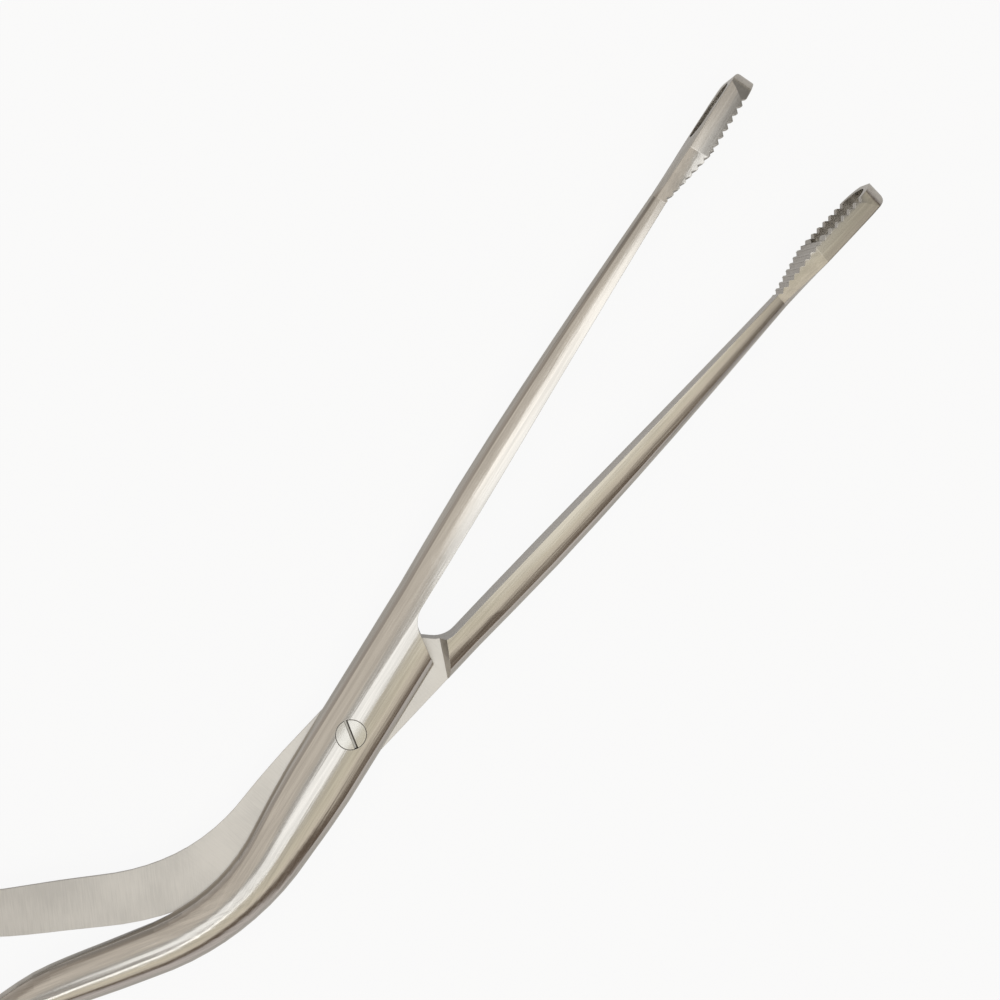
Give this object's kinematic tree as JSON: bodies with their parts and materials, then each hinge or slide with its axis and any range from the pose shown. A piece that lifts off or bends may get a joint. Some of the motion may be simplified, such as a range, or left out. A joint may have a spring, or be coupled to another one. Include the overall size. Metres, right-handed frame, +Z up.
{
  "type": "nasal septum forceps",
  "caption": "Nasal septum forceps with fenestrated cup jaws, long slim shanks, half-lap screw joint and angled ring handles.",
  "frame": {"origin": "centre of the whole forceps seen from above, on the plane it lies on", "axes": "+X from the finger rings to the jaws along the middle of the opening, +Z up along the pivot, towards the screw head"},
  "size_m": [0.2102, 0.081, 0.0084],
  "materials": {
    "satin_steel": "satin",
    "screw_steel": "satin"
  },
  "bodies": {
    "back": {"back_arm": "satin_steel", "pivot_screw": "screw_steel"},
    "front": {"front_arm": "satin_steel"}
  },
  "joints": [
    {"name": "jaw_pivot", "type": "hinge", "parent": "back", "child": "front", "pos_m": [-0.00528, -0.02631, 0.00422], "axis": [0, 0, 1], "range_deg": [-11.6, 18.4]}
  ]
}
